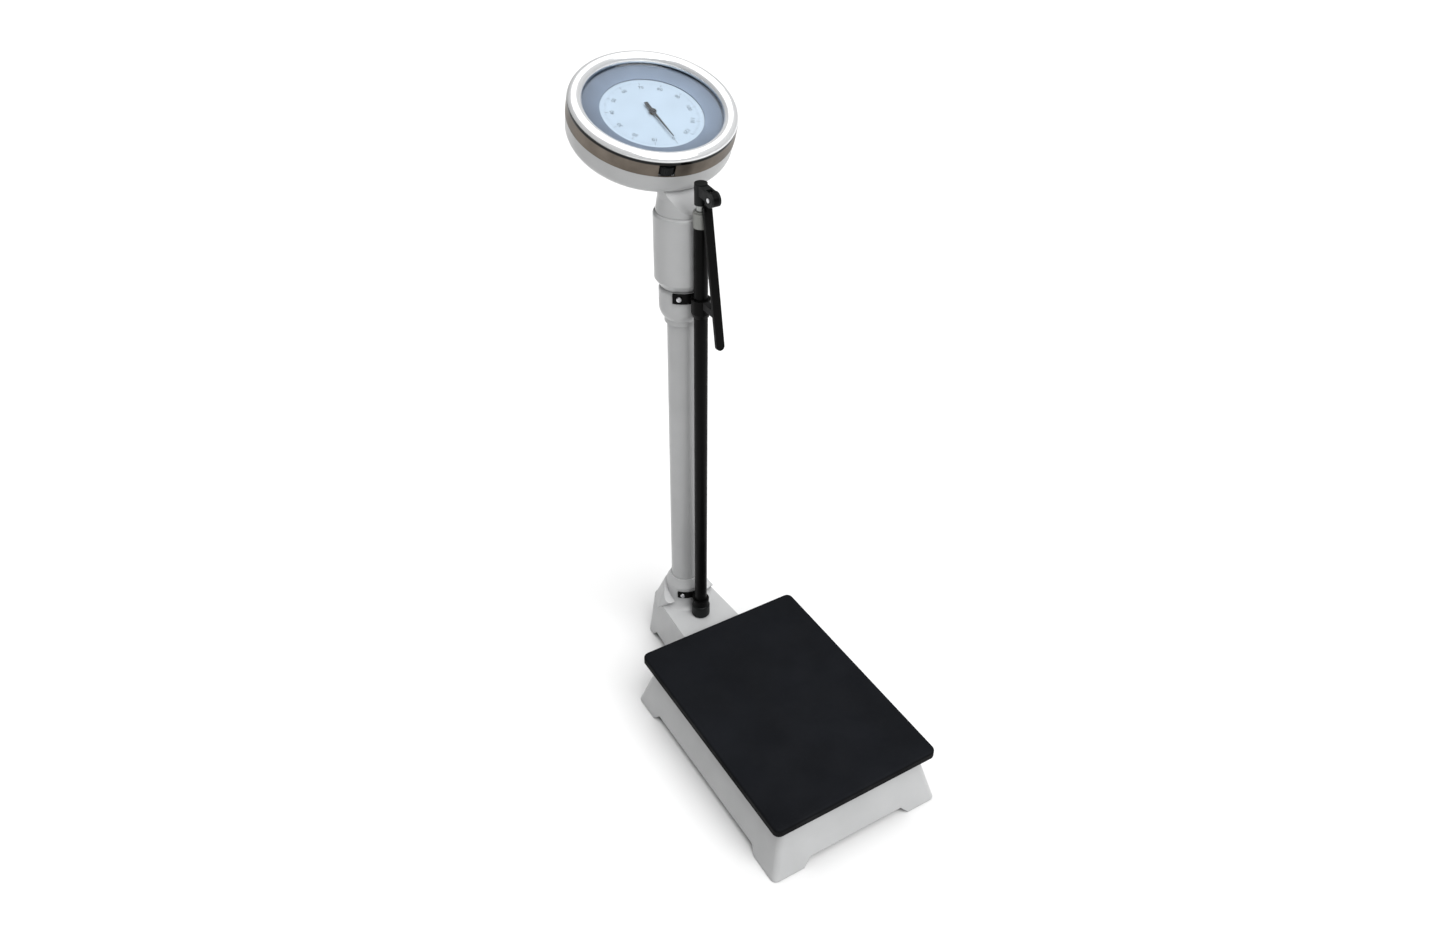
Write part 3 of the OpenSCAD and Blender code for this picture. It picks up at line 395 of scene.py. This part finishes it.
PAINT = (0.435, 0.440, 0.443)
looks = {
    "grey_paint": enamel("grey_paint", PAINT),
    "pad_rubber": grained_rubber("pad_rubber", (0.012, 0.012, 0.013)),
    "mat_rubber": grained_rubber("mat_rubber", (0.0055, 0.0062, 0.0080), specular=0.07,
                                 top=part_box("platform_mat")[1].z),
    "zinc_steel": plated_steel("zinc_steel", (0.72, 0.72, 0.74)),
    "lever_steel": enamel("lever_steel", (0.13, 0.14, 0.15)),
    "movement_brass": plated_steel("movement_brass", (0.78, 0.60, 0.30), 0.25),
    "chrome": polished_bezel("chrome"),
    "glass": window_glass("glass"),
    "dial_surround": satin_surround("dial_surround"),
    "dial_face": printed_face("dial_face"),
    "pointer": gloss_black("pointer", (0.01, 0.01, 0.012), 0.5),
    "black_plastic": gloss_black("black_plastic", (0.006, 0.007, 0.007), 0.45, specular=0.15),
    "black_paint": gloss_black("black_paint", (0.0025, 0.0025, 0.0025), 0.38, specular=0.06),
    "rod_alloy": plated_steel("rod_alloy", (0.40, 0.41, 0.40), 0.45),
    "collar_plastic": enamel("collar_plastic", (0.24, 0.245, 0.23)),
}
INK = ink("dial_ink", (0.05, 0.06, 0.08))


def dress(piece, material):
    """Gives a piece that one material."""
    piece.data.materials.clear()
    piece.data.materials.append(material)


def dress_cad_nodes():
    """Gives each CAD node the look of its material slot in the record."""
    for row in frame["record"]["subparts"]:
        dress(nodes[row["node"]], looks[row["material_slot"]])


# ---------- mesh helpers ----------


def piece_from(bm, name, material, body):
    """Makes a piece of a bmesh, which then rides on a body."""
    mesh = bpy.data.meshes.new(name)
    bmesh.ops.recalc_face_normals(bm, faces=bm.faces)
    bm.to_mesh(mesh)
    bm.free()
    piece = bpy.data.objects.new(name, mesh)
    bpy.context.scene.collection.objects.link(piece)
    dress(piece, material)
    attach(piece, body)
    return piece


def add_bar(bm, place, size):
    """A closed bar of that size, centred on the origin of place."""
    bmesh.ops.create_cube(bm, size=1.0, matrix=place @ Matrix.Diagonal((*size, 1)))


def add_text(bm, text, height, thickness, point):
    """Numerals of that height as a closed mesh; point maps local x, y, z into the row frame."""
    numeral_share = 0.72  # a numeral's height as a share of the font's size
    curve = bpy.data.curves.new("numeral", "FONT")
    curve.body = text
    curve.size = height / numeral_share
    curve.align_x, curve.align_y = "CENTER", "CENTER"
    curve.extrude = thickness / 2
    curve.resolution_u = 3
    holder = bpy.data.objects.new("numeral", curve)
    bpy.context.scene.collection.objects.link(holder)
    bpy.context.view_layer.update()
    graph = bpy.context.evaluated_depsgraph_get()
    mesh = bpy.data.meshes.new_from_object(holder.evaluated_get(graph))
    for v in mesh.vertices:
        v.co = point(v.co)
    bm.from_mesh(mesh)
    bpy.data.objects.remove(holder)
    bpy.data.curves.remove(curve)
    bpy.data.meshes.remove(mesh)


# ---------- dial printing ----------

FULL_LOAD = 120
NUMBER_STEP = 10
HALF_STEP = 5
PRINT_T = 0.06 * MM


def by_rank(count, numbered, half, plain):
    """The value for a mark with a number, for one halfway between two such, or for the rest."""
    if count % NUMBER_STEP == 0:
        return numbered
    return half if count % HALF_STEP == 0 else plain


def pointer_angle():
    """Turn of the pointer at rest about the head's axis, from its y axis."""
    inverse = HEAD.inverted()
    tip = max((inverse @ v.co for v in nodes["pointer"].data.vertices), key=lambda p: p.xy.length)
    return math.atan2(-tip.x, tip.y)


def print_dial():
    """Graduations and numerals, clockwise from the pointer's rest over its whole travel."""
    margin = math.radians(2)
    number_h, number_inset, rim_gap = 5.6 * MM, 10 * MM, 6 * MM
    travel = math.radians(dial_joint["range_deg"][1]) - margin
    face = reach_along("dial_plate", HEAD)[1]
    rim = radii_about("dial_surround", HEAD)[0]
    start = pointer_angle()
    bm = bmesh.new()
    outer = rim - rim_gap
    for kilo in range(FULL_LOAD + 1):
        turn = Matrix.Rotation(start - travel * kilo / FULL_LOAD, 4, "Z")
        length = by_rank(kilo, 5 * MM, 3.6 * MM, 2.2 * MM)
        width = by_rank(kilo, 0.55 * MM, 0.3 * MM, 0.18 * MM)
        middle = Matrix.Translation((0, outer - length / 2, face + PRINT_T / 2))
        add_bar(bm, HEAD @ turn @ middle, (width, length, PRINT_T))
        if kilo % NUMBER_STEP == 0:
            middle = Matrix.Translation((0, outer - number_inset, face + PRINT_T / 2))
            place = HEAD @ turn @ middle
            add_text(bm, str(kilo), number_h, PRINT_T, lambda p, place=place: place @ p)
    piece_from(bm, "dial_printing", INK, "dial_plate")


# ---------- height scale on the telescopic tubes ----------


def wrap_on_rod(radius, z):
    """Maps local x, y, z onto the front of a tube round the rod's axis, with y up."""

    def point(p):
        angle = p.x / radius
        r = radius + p.z
        return Vector((
            ROD_AXIS.x + r * math.sin(angle), ROD_AXIS.y - r * math.cos(angle), z + p.y
        ))

    return point


def add_arc(bm, point, width, height, thickness):
    """A closed strip that lies on the tube."""
    steps = 6
    rings = []
    for i in range(steps + 1):
        x = (i / steps - 0.5) * width
        corners = ((x, -height / 2, 0), (x, height / 2, 0),
                   (x, height / 2, thickness), (x, -height / 2, thickness))
        rings.append([bm.verts.new(point(Vector(c))) for c in corners])
    for a, b in zip(rings, rings[1:]):
        for k in range(4):
            bm.faces.new((a[k], a[(k + 1) % 4], b[(k + 1) % 4], b[k]))
    bm.faces.new(rings[0])
    bm.faces.new(reversed(rings[-1]))


def print_height_scale(name, node, body, first, last, read_z, gap_z):
    """Marks a centimetre apart; each stands at read_z when the arm is that far above the mat."""
    line_t, number_h, number_rise = 0.35 * MM, 3.4 * MM, 3 * MM
    low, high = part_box(node)
    radius = (high.x - low.x) / 2
    bm = bmesh.new()
    for centimetre in range(math.ceil(first * 100), math.floor(last * 100) + 1):
        z = read_z - (centimetre / 100 - gap_z)
        width = by_rank(centimetre, 7 * MM, 5 * MM, 3.2 * MM)
        add_arc(bm, wrap_on_rod(radius, z), width, line_t, PRINT_T)
        if centimetre % NUMBER_STEP == 0:
            at = wrap_on_rod(radius, z + number_rise)
            add_text(bm, str(centimetre), number_h, PRINT_T, at)
    piece_from(bm, name, INK, body)


def print_height_scales():
    """Scales on both inner tubes: the middle one reads first and the inner one goes on from it."""
    arm_joint = joints["measuring_arm_swing"]
    hinge_z = arm_joint["pos_m"][2]
    under_arm = 19 * MM
    lowest = hinge_z - under_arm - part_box("platform_mat")[1].z
    travel = joints["middle_rod_slide"]["range_m"][1]
    middle_read = rod_high.z
    inner_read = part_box("rod_middle_collar")[1].z
    print_height_scale("middle_rod_scale", "rod_middle_tube", "middle_rod",
                       lowest, lowest + travel, middle_read, lowest)
    print_height_scale("inner_rod_scale", "rod_inner_tube", "inner_rod",
                       lowest + travel, lowest + 2 * travel, inner_read, lowest + travel)


# ---------- screws ----------


def lathe(bm, place, profile, segments=32):
    """Turns a profile of (radius, z) points, closed on the axis at both ends."""
    rings = []
    for r, z in profile:
        if r == 0:
            rings.append([bm.verts.new(place @ Vector((0, 0, z)))])
            continue
        turn = [2 * math.pi * i / segments for i in range(segments)]
        rings.append([
            bm.verts.new(place @ Vector((r * math.cos(t), r * math.sin(t), z))) for t in turn
        ])
    for a, b in zip(rings, rings[1:]):
        for i in range(segments):
            k = (i + 1) % segments
            ring = [a[i % len(a)], a[k % len(a)], b[k % len(b)], b[i % len(b)]]
            bm.faces.new(list(dict.fromkeys(ring)))


def solid_islands(node):
    """Groups a CAD node's vertices by the solid that they belong to."""
    bm = bmesh.new()
    bm.from_mesh(nodes[node].data)
    bmesh.ops.remove_doubles(bm, verts=bm.verts, dist=1e-6)
    left, groups = set(bm.verts), []
    for first in bm.verts:  # in their own order, so that each run gives the same groups
        if first not in left:
            continue
        left.remove(first)
        stack, group = [first], []
        while stack:
            v = stack.pop()
            group.append(v.co.copy())
            for e in v.link_edges:
                other = e.other_vert(v)
                if other in left:
                    left.remove(other)
                    stack.append(other)
        groups.append(group)
    bm.free()
    return groups


def cut_cross(piece, places, width, depth, reach):
    """Cuts a cross recess into each screw head."""
    bm = bmesh.new()
    for place in places:
        for turn in (0, math.pi / 2):
            add_bar(bm, place @ Matrix.Rotation(turn, 4, "Z"), (reach, width, 2 * depth))
    mesh = bpy.data.meshes.new("cutter")
    bm.to_mesh(mesh)
    bm.free()
    cutter = bpy.data.objects.new("cutter", mesh)
    bpy.context.scene.collection.objects.link(cutter)
    cut = piece.modifiers.new("cross", "BOOLEAN")
    cut.operation, cut.object, cut.solver = "DIFFERENCE", cutter, "EXACT"
    cut.use_self = True  # the two bars of a cross pass through each other
    graph = bpy.context.evaluated_depsgraph_get()
    done = bpy.data.meshes.new_from_object(piece.evaluated_get(graph))
    piece.modifiers.clear()
    piece.data = done
    bpy.data.objects.remove(cutter)


def make_screws():
    """Domed cross-head screws on the four strap ends."""
    head_r, head_h, shank_r, cad_head_h = 3.6 * MM, 2.2 * MM, 2.0 * MM, 2.0 * MM
    cross_w, cross_depth, cross_span, cross_turn = 0.9 * MM, 1.3 * MM, 4.4 * MM, 0.5
    bm, tops = bmesh.new(), []
    for group in solid_islands("bracket_screws"):
        middle = sum(group, Vector()) / len(group)
        out = Vector((middle.x - COLUMN_AXIS.x, middle.y - COLUMN_AXIS.y, 0)).normalized()
        foot = min(v.dot(out) for v in group)
        tip = max(v.dot(out) for v in group)
        base = middle + out * (foot - middle.dot(out))
        seat = tip - foot - cad_head_h
        place = axis_frame(base, out, (0, 0, 1))
        lathe(bm, place, [
            (0, 0), (shank_r, 0), (shank_r, seat), (head_r, seat),
            (head_r, seat + 0.35 * head_h), (head_r * 0.9, seat + 0.62 * head_h),
            (head_r * 0.66, seat + 0.86 * head_h), (head_r * 0.35, seat + 0.97 * head_h),
            (0, seat + head_h)
        ])
        top = Matrix.Translation((0, 0, seat + head_h))
        tops.append(place @ top @ Matrix.Rotation(cross_turn, 4, "Z"))
    screws = piece_from(bm, "cross_head_screws", looks["zinc_steel"], "base")
    cut_cross(screws, tops, cross_w, cross_depth, cross_span)
    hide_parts("bracket_screws")


# ---------- stage, light and camera ----------


def make_floor():
    """A plain pale floor that reaches out of the picture on every side."""
    half_side, pale = 12.0, (0.79, 0.79, 0.79)
    bm = bmesh.new()
    bmesh.ops.create_grid(bm, x_segments=8, y_segments=8, size=half_side)
    mesh = bpy.data.meshes.new("floor")
    bm.to_mesh(mesh)
    bm.free()
    floor = bpy.data.objects.new("floor", mesh)
    bpy.context.scene.collection.objects.link(floor)
    s = Shader("floor", pale, 0.9, specular=0.0)
    s.color(s.tint(s.noise(0.8, 3), (0.78, 0.78, 0.78), (0.80, 0.80, 0.80)))
    dress(floor, s.material)


def make_sun(name, azimuth, elevation, spread, power):
    """A broad, even light from far away; angles in degrees, azimuth from -y towards +x."""
    a, e = math.radians(azimuth), math.radians(elevation)
    toward = Vector((math.sin(a) * math.cos(e), -math.cos(a) * math.cos(e), math.sin(e)))
    light = bpy.data.lights.new(name, "SUN")
    light.energy, light.angle = power, math.radians(spread)
    holder = bpy.data.objects.new(name, light)
    holder.location = toward * 3
    holder.rotation_mode = "QUATERNION"
    holder.rotation_quaternion = (-toward).to_track_quat("-Z", "Y")
    bpy.context.scene.collection.objects.link(holder)


def make_lights():
    """Soft white light: an even sky, a key from the front and a fill from above."""
    world = bpy.data.worlds.new("studio")
    bpy.context.scene.world = world
    world.use_nodes = True
    background = world.node_tree.nodes["Background"]
    background.inputs["Color"].default_value = (1, 1, 1, 1)
    background.inputs["Strength"].default_value = 0.12
    make_sun("key", 8, 48, 50, 2.5)
    make_sun("top", 160, 80, 75, 2.3)


def make_camera():
    """Looks down at the scale from its front left."""
    azimuth, elevation, roll = (math.radians(a) for a in (-31.74, 37.13, 0.81))
    low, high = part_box("base_casting")
    behind_base_middle, above_floor, distance = 0.1785, 0.4116, 1.656
    aim = Vector((0.0, (low.y + high.y) / 2 + behind_base_middle, above_floor))
    lens_mm, sensor_mm = 29.4054, 36.0
    back = Vector((
        math.sin(azimuth) * math.cos(elevation),
        -math.cos(azimuth) * math.cos(elevation),
        math.sin(elevation),
    ))
    right = Vector((math.cos(azimuth), math.sin(azimuth), 0))
    place = Matrix((right, back.cross(right), back)).transposed()
    data = bpy.data.cameras.new("camera")
    data.sensor_width, data.lens = sensor_mm, lens_mm
    data.clip_start, data.clip_end = 0.05, 60
    camera = bpy.data.objects.new("camera", data)
    turned = place @ Matrix.Rotation(roll, 3, "Z")
    camera.matrix_world = Matrix.Translation(aim + back * distance) @ turned.to_4x4()
    bpy.context.scene.collection.objects.link(camera)
    bpy.context.scene.camera = camera


make_camera()
make_floor()
make_lights()
dress_cad_nodes()
print_dial()
print_height_scales()
make_screws()

bpy.context.scene.view_settings.view_transform = "Standard"
